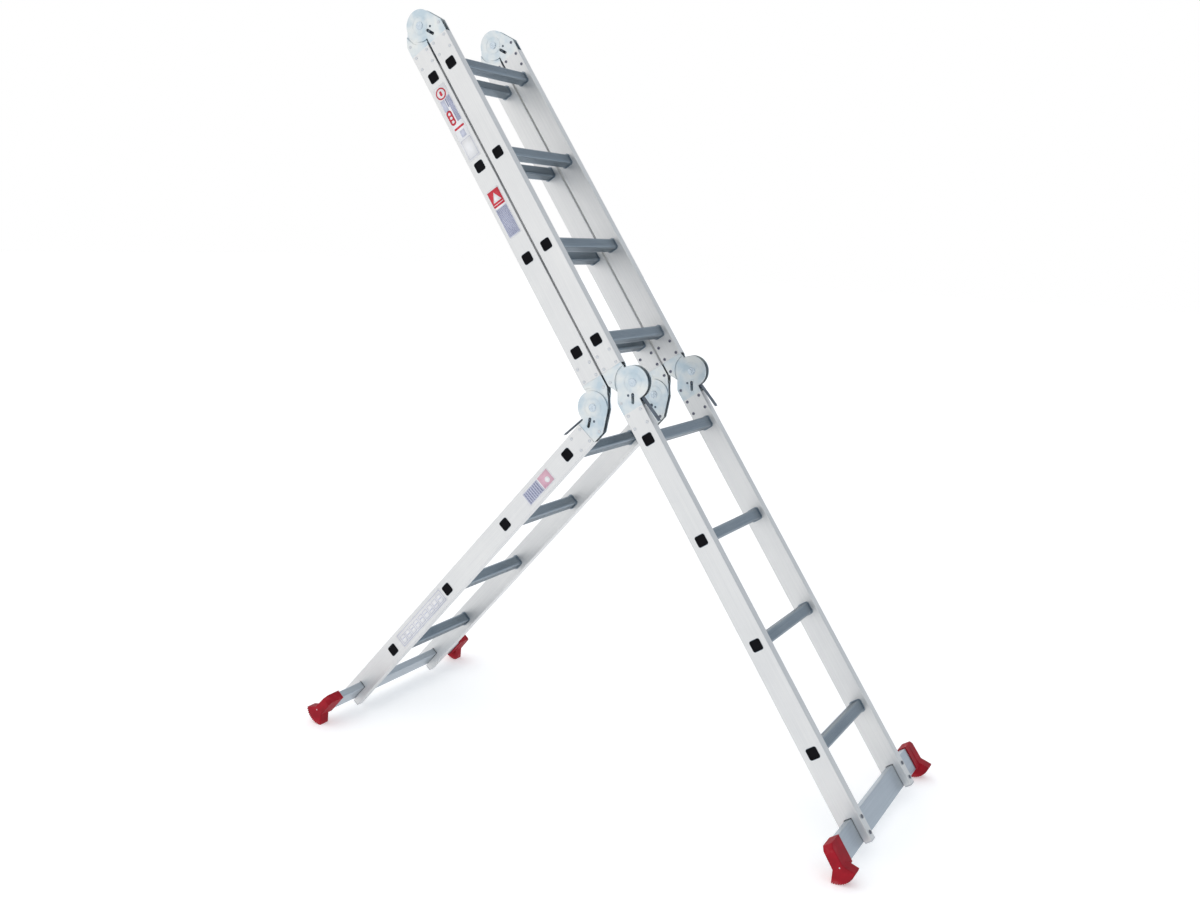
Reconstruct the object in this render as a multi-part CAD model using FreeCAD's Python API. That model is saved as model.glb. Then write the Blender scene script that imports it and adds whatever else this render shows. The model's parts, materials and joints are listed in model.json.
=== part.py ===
"""Multi position ladder: four rung sections joined end to end by three pairs of folding hinges.

Each section is built upright in its own frame: X is the section's front, Y runs across it, and Z runs
up its rails, with zero at the pivot level of the hinge that the section is placed by. The sections are
then stood in their working position, on the floor at Z = 0, with the front of the ladder towards +X.
Millimetres and degrees throughout.
"""
import FreeCAD, Part
import math
import os

Vec = FreeCAD.Vector

# Layout
FRAME_WIDTH = 372.0  # over the outer faces of the rails
RUNGS = 4  # in each section
RUNG_PITCH = 280.0
PIVOT_TO_RUNG = 142.0  # from a hinge's pivot level to the nearest rung
SECTION_GAP = 5.0  # between two sections folded together
REAR_ANGLE = 105.0  # between the two rear sections, as the ladder stands

# Rails: rectangular tube
RAIL_DEPTH = 62.0
RAIL_WIDTH = 25.0
RAIL_WALL = 1.4
RAIL_CORNER = 2.5
RAIL_START = 60.0  # from a pivot's level to the end of the rail
RAIL_FOOT = 1210.0  # from the pivot's level to the open end of a lower rail

# Rungs: square tube, grooved between the rails and swaged against their inner faces
RUNG_SIZE = 30.0
RUNG_WALL = 1.6
RUNG_CORNER = 6.0
GROOVES = 5  # on each side of a rung
GROOVE_PITCH = 3.6
GROOVE_WIDTH = 1.4
GROOVE_DEPTH = 0.7
COLLAR_SIZE = 35.0
COLLAR_LENGTH = 3.0
COLLAR_CORNER = 8.0
PLUG_SIZE = 28.0
PLUG_HEAD = 1.2
PLUG_DEPTH = 10.0
PLUG_CORNER = 5.0
PLUG_RIM = 4.0  # round the dish in a plug's head
PLUG_DISH = 0.6
PLUG_DISH_CORNER = 3.0

# Hinges: two pressed plates in the end of each rail
DISC_RADIUS = 43.0
ARM_CORNER = 25.0  # from the pivot's level to the square shoulder of an arm
PLATE = 3.0
PLATE_GAP = 0.4  # running gap between the plates of the two arms
STEP_RADIUS = 50.5  # an inner arm's plates step inwards inside this radius
EYE_RADIUS = 26.0  # of an inner arm where the lock pin and the lever's pin sweep past it
EYE_FROM = -72.0  # degrees
EYE_TO = 148.0  # degrees
EYE_STEPS = 4
TONGUE_HALF = 28.0  # half the width of the tongue inside the rail
TONGUE_END = 112.0
PIVOT_RADIUS = 8.0
PIVOT_CLEARANCE = 0.05
PIVOT_HEAD_RADIUS = 10.5
PIVOT_HEAD = 1.6
STAMP_OUTER = 25.0
STAMP_INNER = 22.0
STAMP_HEIGHT = 0.7

# Release levers, each with its lock pin
LEVER_PIVOT = (-27.5, -22.0)  # from the hinge's pivot
LEVER_PIN_RADIUS = 3.0
LEVER_PIN_END = 1.0  # that it stands out of the fork's plates
LEVER_WEB = 4.0
LEVER_WEB_HALF = 5.5  # half the web's width by the lever's pivot
LEVER_ARM_HALF = 4.0  # and from the lock pin to the strip
LEVER_ROOT = -6.0  # where the web turns out to the strip, from the hinge's pivot
LEVER_TAB = 8.0
LEVER_WIDTH = 16.0
LEVER_STRIP = 2.0
LEVER_STANDOFF = 0.4  # between the rail and the strip pressed in
LEVER_TOP = 48.0
LEVER_END = 115.0
LEVER_LIP = 5.0  # of the turned-out thumb edge
LEVER_LIP_THICK = 1.2
LEVER_OUT_FRONT = 8.0  # how far the levers stand out as the ladder stands
LEVER_OUT_REAR = 7.0
LOCK_PIN_RADIUS = 3.5
LOCK_PIN_LENGTH = 24.6
LOCK_ANGLE = 240.0
LOCK_SEATED = 33.8
LOCK_RIDING = 36.0
SLOT_WIDTH = 8.0
SLOT_FROM = 30.5
SLOT_TO = 50.0

# Rivets and screws
RIVET_RADIUS = 2.4
RIVET_HEAD_RADIUS = 4.2
RIVET_HEAD_TOP = 2.8  # radius of a head's flat top
RIVET_HEAD = 1.3
RIVET_SPREAD = 20.0  # either side of the rail's middle
RIVET_ROWS = (67.0, 103.0)
ARM_RIVET = (-55.5, -30.0)  # from the hinge's pivot
SCREW_RADIUS = 2.5
SCREW_HEAD_RADIUS = 5.0
SCREW_HEAD_TOP = 3.5
SCREW_HEAD = 2.4
SCREW_ROWS = (1156.0, 1195.0)
SCREW_END = 5.0  # from the rail's middle

# Stabiliser bars: rectangular tube through slots in the lower rails
BAR_LENGTH = 656.0
BAR_THICK = 20.0
BAR_DEPTH = 60.0
BAR_WALL = 1.5
BAR_CORNER = 2.5
BAR_TOP = 1149.0
SLOT_PLAY = 0.9  # between a bar's faces and its slot
SLOT_PLAY_TOP = 1.5

# Rail end caps
CAP_FLANGE = 4.0
CAP_PLUG = 10.0
CAP_PLAY = 0.2
CAP_EDGE = 2.0

# Feet: a sleeve over the bar's end on a toothed rocker
FOOT_OUTER = 338.0  # from the middle of the ladder
FOOT_INNER = 282.0
ROCKER_INNER = 306.0
SLEEVE_HALF = 12.5
SLEEVE_TOP = 1146.5
SLEEVE_END = 1211.5
SLEEVE_CHAMFER = 9.0
WAIST_HALF = 14.0
WAIST_LEVEL = 1199.0
ROCKER_HALF = 32.5
ROCKER_RADIUS = 48.0
ROCKER_CENTRE = 1188.0
TOOTH_PITCH = 7.0  # degrees
TOOTH_LAND = 3.4  # degrees
TOOTH_DEPTH = 3.2
FOOT_EDGE = 2.5  # radius of the moulded edges

# Worked out from the dimensions above
RAIL_Y = (FRAME_WIDTH - RAIL_WIDTH) / 2
OUTER_FACE = RAIL_WIDTH / 2  # from the rail's middle plane
STACK = RAIL_DEPTH + SECTION_GAP
PIVOT_X = STACK / 2
SPAN = 2 * PIVOT_TO_RUNG + (RUNGS - 1) * RUNG_PITCH  # between the pivots of an upper section
FORK_OUT = OUTER_FACE - RAIL_WALL
FORK_IN = FORK_OUT - PLATE
INNER_OUT = FORK_IN - PLATE_GAP
INNER_IN = INNER_OUT - PLATE
BEND = 180.0 - REAR_ANGLE
ROCKER_LIMIT = math.degrees(math.asin(ROCKER_HALF / ROCKER_RADIUS))
LAND_RADIUS = ROCKER_RADIUS / math.cos(math.radians(TOOTH_LAND / 2))
TEETH = math.ceil(2 * ROCKER_LIMIT / TOOTH_PITCH)


def lean_angle():
    """The front sections' lean from upright that puts the front and rear feet on one floor."""
    bend = math.radians(BEND)
    rise = ROCKER_CENTRE * (1 - math.cos(bend)) - PIVOT_X * math.sin(bend)
    run = STACK + PIVOT_X - PIVOT_X * math.cos(bend) + ROCKER_CENTRE * math.sin(bend)
    return math.degrees(math.atan2(rise, run))


LEAN = lean_angle()
LEVEL = ROCKER_RADIUS + ROCKER_CENTRE * math.cos(math.radians(LEAN))  # of the lower hinges' pivot plane


def block(x0, x1, y0, y1, z0, z1):
    return Part.makeBox(x1 - x0, y1 - y0, z1 - z0, Vec(x0, y0, z0))


def rounded_block(x0, x1, y0, y1, z0, z1, axis, radius):
    """A block with the four edges along one axis rounded."""
    solid = block(x0, x1, y0, y1, z0, z1)
    edges = []
    for edge in solid.Edges:
        along = edge.Vertexes[1].Point - edge.Vertexes[0].Point
        if abs(along.dot(axis)) > 0.9 * along.Length:
            edges.append(edge)
    return solid.makeFillet(radius, edges)


def rod(radius, start, end):
    return Part.makeCylinder(radius, (end - start).Length, start, end - start)


def rod_y(radius, x, z, y0, y1):
    return rod(radius, Vec(x, y0, z), Vec(x, y1, z))


def at_angle(radius, degrees):
    angle = math.radians(degrees)
    return Vec(radius * math.cos(angle), 0, radius * math.sin(angle))


def prism_y(edges, y0, y1):
    """Extrude a closed outline, drawn in the plane Y = 0, from y0 to y1."""
    face = Part.Face(Part.Wire(edges))
    solid = face.extrude(Vec(0, y1 - y0, 0))
    solid.translate(Vec(0, y0, 0))
    return solid


def polygon_edges(points):
    return Part.makePolygon(points + points[:1]).Edges


def stadium_y(start, end, radius, y0, y1):
    """A bar with round ends between two points of the plane Y = 0."""
    side = (end - start).cross(Vec(0, 1, 0)).normalize() * radius
    middle = prism_y(polygon_edges([start + side, end + side, end - side, start - side]), y0, y1)
    first = rod_y(radius, start.x, start.z, y0, y1)
    second = rod_y(radius, end.x, end.z, y0, y1)
    return middle.multiFuse([first, second]).removeSplitter()


def both_plates(solid):
    return [solid, solid.mirror(Vec(0, 0, 0), Vec(0, 1, 0))]


def moved(shape, placement):
    result = shape.copy()
    result.Placement = placement.multiply(result.Placement)
    return result


def shifted(shape, x, y, z):
    return moved(shape, FreeCAD.Placement(Vec(x, y, z), FreeCAD.Rotation()))


def group(solids):
    return solids[0] if len(solids) == 1 else Part.makeCompound(solids)


# ---------------------------------------------------------------- rails


def rung_levels(lower):
    """Heights of the rungs in the section's frame, first rung first."""
    sign = -1 if lower else 1
    return [sign * (PIVOT_TO_RUNG + k * RUNG_PITCH) for k in range(RUNGS)]


def rail_ends(lower):
    return (-RAIL_FOOT, -RAIL_START) if lower else (RAIL_START, SPAN - RAIL_START)


def rivet_levels(lower):
    """Heights of the rows of rivets through the hinge plates' tongues."""
    if lower:
        return [-row for row in RIVET_ROWS]
    return list(RIVET_ROWS) + [SPAN - row for row in RIVET_ROWS]


def rail(lower, front):
    """One rail about Y = 0. The bar's screws go into the face towards the pivot, front = 1 or -1."""
    low, high = rail_ends(lower)
    half = RAIL_DEPTH / 2
    up = Vec(0, 0, 1)
    tube = rounded_block(-half, half, -OUTER_FACE, OUTER_FACE, low, high, up, RAIL_CORNER)
    inside = half - RAIL_WALL
    bore = rounded_block(
        -inside, inside, -FORK_OUT, FORK_OUT, low - 1, high + 1, up, RAIL_CORNER - RAIL_WALL
    )
    cuts = [bore]
    side = RUNG_SIZE / 2
    for z in rung_levels(lower):
        hole = rounded_block(
            -side, side, -RAIL_WIDTH, RAIL_WIDTH, z - side, z + side, Vec(0, 1, 0), RUNG_CORNER
        )
        cuts.append(hole)
    for z in rivet_levels(lower):
        for x in (-RIVET_SPREAD, RIVET_SPREAD):
            cuts.append(rod_y(RIVET_RADIUS, x, z, -RAIL_WIDTH, RAIL_WIDTH))
    if lower:
        slot = BAR_THICK / 2 + SLOT_PLAY
        slot_top = -BAR_TOP + SLOT_PLAY_TOP
        cuts.append(block(-slot, slot, -RAIL_WIDTH, RAIL_WIDTH, low - 1, slot_top))
        for row in SCREW_ROWS:
            cuts.append(rod(SCREW_RADIUS, Vec(front * slot, 0, -row), Vec(front * (half + 1), 0, -row)))
    return tube.cut(cuts)


# ---------------------------------------------------------------- rungs


def groove_tool(z, reach):
    """The grooves of one rung's four sides, as the solids to cut away."""
    side = RUNG_SIZE / 2
    first = -(GROOVES - 1) * GROOVE_PITCH / 2
    tools = []
    for k in range(GROOVES):
        low = first + k * GROOVE_PITCH - GROOVE_WIDTH / 2
        high = low + GROOVE_WIDTH
        for face in (-side, side - GROOVE_DEPTH):
            tools.append(block(face, face + GROOVE_DEPTH, -reach, reach, z + low, z + high))
            tools.append(block(low, high, -reach, reach, z + face, z + face + GROOVE_DEPTH))
    return tools


def rung(z):
    end = FRAME_WIDTH / 2
    across = Vec(0, 1, 0)
    side = RUNG_SIZE / 2
    tube = rounded_block(-side, side, -end, end, z - side, z + side, across, RUNG_CORNER)
    wide = COLLAR_SIZE / 2
    face = end - RAIL_WIDTH
    collars = []
    for y0, y1 in ((-face, COLLAR_LENGTH - face), (face - COLLAR_LENGTH, face)):
        collars.append(rounded_block(-wide, wide, y0, y1, z - wide, z + wide, across, COLLAR_CORNER))
    inside = side - RUNG_WALL
    bore = rounded_block(
        -inside, inside, -end - 1, end + 1, z - inside, z + inside, across, RUNG_CORNER - RUNG_WALL
    )
    grooves = groove_tool(z, face - COLLAR_LENGTH)
    return tube.cut(grooves).multiFuse(collars).cut(bore)


def rung_plug(z, sign):
    """The plug in one end of a rung, with a dished head that covers the cut edge of the tube."""
    end = FRAME_WIDTH / 2
    across = Vec(0, 1, 0)
    inside = RUNG_SIZE / 2 - RUNG_WALL
    stem = rounded_block(
        -inside, inside, end - PLUG_DEPTH, end, z - inside, z + inside, across, RUNG_CORNER - RUNG_WALL
    )
    wide = PLUG_SIZE / 2
    head = rounded_block(-wide, wide, end, end + PLUG_HEAD, z - wide, z + wide, across, PLUG_CORNER)
    dish = wide - PLUG_RIM
    face = end + PLUG_HEAD
    hollow = rounded_block(
        -dish, dish, face - PLUG_DISH, face + 1, z - dish, z + dish, across, PLUG_DISH_CORNER
    )
    plug = stem.fuse(head).cut(hollow)
    return plug if sign > 0 else plug.mirror(Vec(0, 0, 0), across)


# ---------------------------------------------------------------- hinges, about the pivot
# In a hinge's frame the pivot is the Y axis, the arm's rail hangs below it and the rail's middle is at
# X = -PIVOT_X.


def arm_outline():
    """Square-shouldered arm that sweeps up to the hinge's disc, with a tongue that fits in the rail."""
    left = -PIVOT_X - RAIL_DEPTH / 2
    right = -PIVOT_X + RAIL_DEPTH / 2
    corner = Vec(left, 0, -ARM_CORNER)
    bearing = math.degrees(math.atan2(corner.z, corner.x)) % 360
    touch = bearing - math.degrees(math.acos(DISC_RADIUS / corner.Length))
    meet = -math.degrees(math.acos(right / DISC_RADIUS))
    start = at_angle(DISC_RADIUS, touch)
    finish = at_angle(DISC_RADIUS, meet)
    middle = at_angle(DISC_RADIUS, (touch + meet) / 2)
    points = [
        finish,
        Vec(right, 0, -RAIL_START),
        Vec(TONGUE_HALF - PIVOT_X, 0, -RAIL_START),
        Vec(TONGUE_HALF - PIVOT_X, 0, -TONGUE_END),
        Vec(-TONGUE_HALF - PIVOT_X, 0, -TONGUE_END),
        Vec(-TONGUE_HALF - PIVOT_X, 0, -RAIL_START),
        Vec(left, 0, -RAIL_START),
        corner,
        start,
    ]
    edges = Part.makePolygon(points).Edges
    edges.append(Part.Arc(start, middle, finish).toShape())
    return edges


def arm_holes(pivot_radius):
    holes = [rod_y(pivot_radius, 0, 0, 0, RAIL_WIDTH)]
    holes.append(rod_y(RIVET_RADIUS, ARM_RIVET[0], ARM_RIVET[1], 0, RAIL_WIDTH))
    for row in RIVET_ROWS:
        for x in (-RIVET_SPREAD, RIVET_SPREAD):
            holes.append(rod_y(RIVET_RADIUS, x - PIVOT_X, -row, 0, RAIL_WIDTH))
    return holes


def fork_arm():
    """The outer pair of plates, slotted for the lock pin, each with a stamped ring about the pivot."""
    plate = prism_y(arm_outline(), FORK_IN, FORK_OUT)
    ring = rod_y(STAMP_OUTER, 0, 0, FORK_OUT - 1, FORK_OUT + STAMP_HEIGHT)
    ring = ring.cut(rod_y(STAMP_INNER, 0, 0, FORK_OUT - 2, FORK_OUT + 2))
    slot_from = at_angle(SLOT_FROM, LOCK_ANGLE)
    slot_to = at_angle(SLOT_TO, LOCK_ANGLE)
    cuts = arm_holes(PIVOT_RADIUS)
    cuts.append(stadium_y(slot_from, slot_to, SLOT_WIDTH / 2, 0, RAIL_WIDTH))
    pin_hole = LEVER_PIN_RADIUS + PIVOT_CLEARANCE
    cuts.append(rod_y(pin_hole, LEVER_PIVOT[0], LEVER_PIVOT[1], 0, RAIL_WIDTH))
    return both_plates(plate.fuse(ring).cut(cuts))


def inner_arm():
    """The inner pair of plates: level with the fork's by the rail, and stepped inwards at the disc."""
    outline = arm_outline()
    inside_step = rod_y(STEP_RADIUS, 0, 0, 0, RAIL_WIDTH)
    inside_wall = rod_y(STEP_RADIUS + PLATE, 0, 0, 0, RAIL_WIDTH)
    outer_level = prism_y(outline, FORK_IN, FORK_OUT).cut(inside_step)
    wall = prism_y(outline, INNER_IN, FORK_OUT).common(inside_wall).cut(inside_step)
    inner_level = prism_y(outline, INNER_IN, INNER_OUT).common(inside_wall)
    eye = rod_y(EYE_RADIUS, 0, 0, 0, RAIL_WIDTH)
    points = [Vec(0, 0, 0)]
    for k in range(EYE_STEPS + 1):
        points.append(at_angle(RAIL_DEPTH, EYE_FROM + k * (EYE_TO - EYE_FROM) / EYE_STEPS))
    swept = prism_y(polygon_edges(points), 0, RAIL_WIDTH).cut(eye)
    inner_level = inner_level.cut(swept)
    plate = outer_level.multiFuse([wall, inner_level]).removeSplitter()
    return both_plates(plate.cut(arm_holes(PIVOT_RADIUS + PIVOT_CLEARANCE)))


def pivot_pin():
    shaft = rod_y(PIVOT_RADIUS, 0, 0, -FORK_OUT, FORK_OUT)
    heads = []
    for sign in (-1, 1):
        base = Vec(0, sign * FORK_OUT, 0)
        axis = Vec(0, sign, 0)
        heads.append(Part.makeCone(PIVOT_HEAD_RADIUS, PIVOT_RADIUS, PIVOT_HEAD, base, axis))
    return shaft.multiFuse(heads).removeSplitter()


def release_lever(lock_radius, out):
    """A thumb strip along the rail, its web between the hinge plates, its pivot pin and its lock pin.

    It is drawn pressed in, lying along the rail, and then turned out about its pivot pin.
    """
    x, z = LEVER_PIVOT
    pivot = Vec(x, 0, z)
    lock = at_angle(lock_radius, LOCK_ANGLE)
    root = Vec(LEVER_ROOT, 0, -LEVER_TOP - LEVER_TAB / 2)
    half_web = LEVER_WEB / 2
    strip_in = RAIL_DEPTH / 2 - PIVOT_X + LEVER_STANDOFF
    strip_out = strip_in + LEVER_STRIP
    half = LEVER_WIDTH / 2
    parts = [
        stadium_y(lock, root, LEVER_ARM_HALF, -half_web, half_web),
        block(root.x, strip_out, -half_web, half_web, -LEVER_TOP - LEVER_TAB, -LEVER_TOP),
        block(strip_in, strip_out, -half, half, -LEVER_END, -LEVER_TOP),
        block(strip_in, strip_in + LEVER_LIP_THICK, -half, half, -LEVER_END - LEVER_LIP, -LEVER_END),
        rod_y(LEVER_PIN_RADIUS, x, z, -FORK_OUT - LEVER_PIN_END, FORK_OUT + LEVER_PIN_END),
        rod_y(LOCK_PIN_RADIUS, lock.x, lock.z, -LOCK_PIN_LENGTH / 2, LOCK_PIN_LENGTH / 2),
    ]
    web = stadium_y(pivot, lock, LEVER_WEB_HALF, -half_web, half_web)
    lever = web.multiFuse(parts).removeSplitter()
    lever.rotate(pivot, Vec(0, -1, 0), out)
    return lever


def rivet(x, z, reach):
    """A rivet through two faces at y = -reach and y = reach, with a domed head on each."""
    shaft = rod_y(RIVET_RADIUS, x, z, -reach, reach)
    heads = []
    for sign in (-1, 1):
        base = Vec(x, sign * reach, z)
        axis = Vec(0, sign, 0)
        heads.append(Part.makeCone(RIVET_HEAD_RADIUS, RIVET_HEAD_TOP, RIVET_HEAD, base, axis))
    return shaft.multiFuse(heads).removeSplitter()


# ---------------------------------------------------------------- feet and bars


def stabiliser_bar(front):
    """The tube across the foot of a lower section, drilled for the screws on its pivot side."""
    end = BAR_LENGTH / 2
    across = Vec(0, 1, 0)
    half = BAR_THICK / 2
    low = -BAR_TOP - BAR_DEPTH
    tube = rounded_block(-half, half, -end, end, low, -BAR_TOP, across, BAR_CORNER)
    inside = half - BAR_WALL
    bore = rounded_block(
        -inside, inside, -end - 1, end + 1, low + BAR_WALL, -BAR_TOP - BAR_WALL, across, BAR_CORNER - BAR_WALL
    )
    cuts = [bore]
    for sign in (-1, 1):
        for row in SCREW_ROWS:
            start = Vec(0, sign * RAIL_Y, -row)
            cuts.append(rod(SCREW_RADIUS, start, start + Vec(front * BAR_THICK, 0, 0)))
    return tube.cut(cuts)


def foot_outline():
    """Sleeve, waist and rocker seen from the side, before the teeth are cut."""
    centre = Vec(0, 0, -ROCKER_CENTRE)
    tips = [centre + at_angle(LAND_RADIUS, 270 + turn) for turn in (-ROCKER_LIMIT, 0, ROCKER_LIMIT)]
    points = [
        tips[2],
        Vec(WAIST_HALF, 0, -WAIST_LEVEL),
        Vec(SLEEVE_HALF, 0, -SLEEVE_TOP),
        Vec(-SLEEVE_HALF, 0, -SLEEVE_TOP),
        Vec(-WAIST_HALF, 0, -WAIST_LEVEL),
        tips[0],
    ]
    return Part.makePolygon(points).Edges + [Part.Arc(*tips).toShape()]


def sole_cuts(contact):
    """The gaps between the teeth, and the flat on the tooth that stands on the floor.

    That tooth is at contact, an angle from the section's downward axis.
    """
    centre = Vec(0, 0, -ROCKER_CENTRE)
    half = (TOOTH_PITCH - TOOTH_LAND) / 2
    past = ROCKER_RADIUS + 1
    outlines = []
    for k in range(-TEETH, TEETH):
        angle = contact + (k + 0.5) * TOOTH_PITCH
        if abs(angle) + half < ROCKER_LIMIT:
            low = 270 + angle - half
            high = 270 + angle + half
            root = at_angle(ROCKER_RADIUS - TOOTH_DEPTH, 270 + angle)
            corners = [at_angle(ROCKER_RADIUS, low), at_angle(past, low), at_angle(past, high)]
            outlines.append(corners + [at_angle(ROCKER_RADIUS, high), root])
    low = 270 + contact - TOOTH_LAND
    high = 270 + contact + TOOTH_LAND
    chord = ROCKER_RADIUS / math.cos(math.radians(TOOTH_LAND))
    outlines.append([at_angle(chord, low), at_angle(past, low), at_angle(past, high), at_angle(chord, high)])
    cuts = []
    for outline in outlines:
        edges = polygon_edges([centre + point for point in outline])
        cuts.append(prism_y(edges, ROCKER_INNER - 1, FOOT_OUTER + 1))
    return cuts


def moulded_edges(solid):
    """The edges about the foot's outer end. The sole's edges stay crisp."""
    edges = []
    for edge in solid.Edges:
        ends = [vertex.Point for vertex in edge.Vertexes]
        from_centre = [math.hypot(end.x, end.z + ROCKER_CENTRE) for end in ends]
        outer = all(end.y > FOOT_OUTER - SLEEVE_CHAMFER - 0.01 for end in ends)
        if outer and min(from_centre) < ROCKER_RADIUS - 1:
            edges.append(edge)
    return edges


def foot(sign, contact):
    rocker = prism_y(foot_outline(), ROCKER_INNER, FOOT_OUTER)
    sleeve = block(-SLEEVE_HALF, SLEEVE_HALF, FOOT_INNER, FOOT_OUTER, -SLEEVE_END, -SLEEVE_TOP)
    solid = rocker.fuse(sleeve).removeSplitter()
    wide = ROCKER_HALF
    wedge = Part.makePolygon(
        [
            Vec(-wide, FOOT_OUTER - SLEEVE_CHAMFER, -SLEEVE_TOP),
            Vec(-wide, FOOT_OUTER, -SLEEVE_TOP - SLEEVE_CHAMFER),
            Vec(-wide, FOOT_OUTER, -SLEEVE_TOP),
            Vec(-wide, FOOT_OUTER - SLEEVE_CHAMFER, -SLEEVE_TOP),
        ]
    )
    solid = solid.cut(Part.Face(wedge).extrude(Vec(2 * wide, 0, 0)))
    solid = solid.makeFillet(FOOT_EDGE, moulded_edges(solid))
    half = BAR_THICK / 2
    bar = rounded_block(
        -half, half, 0, BAR_LENGTH / 2, -BAR_TOP - BAR_DEPTH, -BAR_TOP, Vec(0, 1, 0), BAR_CORNER
    )
    solid = solid.cut([bar] + sole_cuts(contact))
    return solid if sign > 0 else solid.mirror(Vec(0, 0, 0), Vec(0, 1, 0))


def end_cap(sign):
    """The cap on one leg of a slotted rail end, about Y = 0."""
    inner = BAR_THICK / 2 + SLOT_PLAY + CAP_PLAY
    outer = RAIL_DEPTH / 2
    up = Vec(0, 0, 1)
    flange = rounded_block(
        inner, outer, -OUTER_FACE, OUTER_FACE, -RAIL_FOOT - CAP_FLANGE, -RAIL_FOOT, up, RAIL_CORNER
    )
    lower_edges = []
    for edge in flange.Edges:
        if edge.BoundBox.ZMax < -RAIL_FOOT - CAP_FLANGE + 0.01:
            lower_edges.append(edge)
    flange = flange.makeFillet(CAP_EDGE, lower_edges)
    play = RAIL_WALL + CAP_PLAY
    stem = block(
        inner, outer - play, play - OUTER_FACE, OUTER_FACE - play, -RAIL_FOOT, CAP_PLUG - RAIL_FOOT
    )
    corner = RAIL_CORNER - RAIL_WALL
    stem = stem.common(
        rounded_block(0, outer - play, play - OUTER_FACE, OUTER_FACE - play, -RAIL_FOOT, 0, up, corner)
    )
    cap = flange.fuse(stem)
    return cap if sign > 0 else cap.mirror(Vec(0, 0, 0), Vec(1, 0, 0))


def bar_screw(front, z):
    """A pan-head screw through the face of the rail towards the pivot and into the bar."""
    face = Vec(front * RAIL_DEPTH / 2, 0, z)
    shaft = rod(SCREW_RADIUS, Vec(front * SCREW_END, 0, z), face)
    axis = Vec(front, 0, 0)
    head = Part.makeCone(SCREW_HEAD_RADIUS, SCREW_HEAD_TOP, SCREW_HEAD, face, axis)
    return shaft.fuse(head)


# ---------------------------------------------------------------- where everything stands

LEG = FreeCAD.Placement(Vec(0, 0, LEVEL), FreeCAD.Rotation(Vec(0, 1, 0), -LEAN))
REAR = LEG.multiply(FreeCAD.Placement(Vec(-STACK, 0, 0), FreeCAD.Rotation()))
SWING = FreeCAD.Placement(Vec(0, 0, 0), FreeCAD.Rotation(Vec(0, 1, 0), BEND), Vec(-PIVOT_X, 0, 0))
SECTIONS = {
    "front_lower": LEG,
    "front_upper": LEG,
    "rear_upper": REAR,
    "rear_lower": REAR.multiply(SWING),
}
SIDES = {"left": -1, "right": 1}

# each hinge: the section of its fork and of its inner arm, and its pivot in each section's frame
HINGES = {
    "front_hinge": ("front_lower", (PIVOT_X, 0.0), "front_upper", (PIVOT_X, 0.0)),
    "top_hinge": ("front_upper", (-PIVOT_X, SPAN), "rear_upper", (PIVOT_X, SPAN)),
    "rear_hinge": ("rear_lower", (-PIVOT_X, 0.0), "rear_upper", (-PIVOT_X, 0.0)),
}
LEVERS = {
    "front_hinge": (LOCK_SEATED, LEVER_OUT_FRONT),
    "top_hinge": (LOCK_RIDING, 0.0),
    "rear_hinge": (LOCK_SEATED, LEVER_OUT_REAR),
}


def arm_place(pivot, body_up):
    """Put a hinge arm in its section: its rail is above or below the pivot, and always about X = 0."""
    x, z = pivot
    rail_behind = x > 0
    if rail_behind:
        turn = FreeCAD.Rotation(Vec(1, 0, 0), 180 if body_up else 0)
    else:
        turn = FreeCAD.Rotation(Vec(0, 1, 0), 180) if body_up else FreeCAD.Rotation(Vec(0, 0, 1), 180)
    return FreeCAD.Placement(Vec(x, 0, z), turn)


def contact_angle(section):
    """The floor's direction in a lower section's frame, from its downward axis towards its front."""
    return -LEAN if section == "front_lower" else BEND - LEAN


nodes = {}


def keep(name, section, solids):
    nodes[name] = moved(group(solids), SECTIONS[section])


def build_section(section):
    lower = section.endswith("lower")
    front = -1 if section.startswith("rear") else 1
    levels = rung_levels(lower)
    shared_rail = rail(lower, front)
    for side, sign in SIDES.items():
        keep(f"{section}_rail_{side}", section, [shifted(shared_rail, 0, sign * RAIL_Y, 0)])
    first_rung = rung(levels[0])
    for k, level in enumerate(levels):
        keep(f"{section}_rung_{k + 1}", section, [shifted(first_rung, 0, 0, level - levels[0])])
    plugs = [rung_plug(level, sign) for level in levels for sign in SIDES.values()]
    keep(f"{section}_rung_plugs", section, plugs)
    if lower:
        build_foot_end(section, front)


def build_foot_end(section, front):
    end = section.split("_")[0]
    keep(f"{end}_stabiliser_bar", section, [stabiliser_bar(front)])
    caps = []
    screws = []
    for side, sign in SIDES.items():
        keep(f"{end}_foot_{side}", section, [foot(sign, contact_angle(section))])
        for leg in (-1, 1):
            caps.append(shifted(end_cap(leg), 0, sign * RAIL_Y, 0))
        for row in SCREW_ROWS:
            screws.append(shifted(bar_screw(front, -row), 0, sign * RAIL_Y, 0))
    keep(f"{end}_rail_end_caps", section, caps)
    keep(f"{end}_bar_screws", section, screws)


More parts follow.
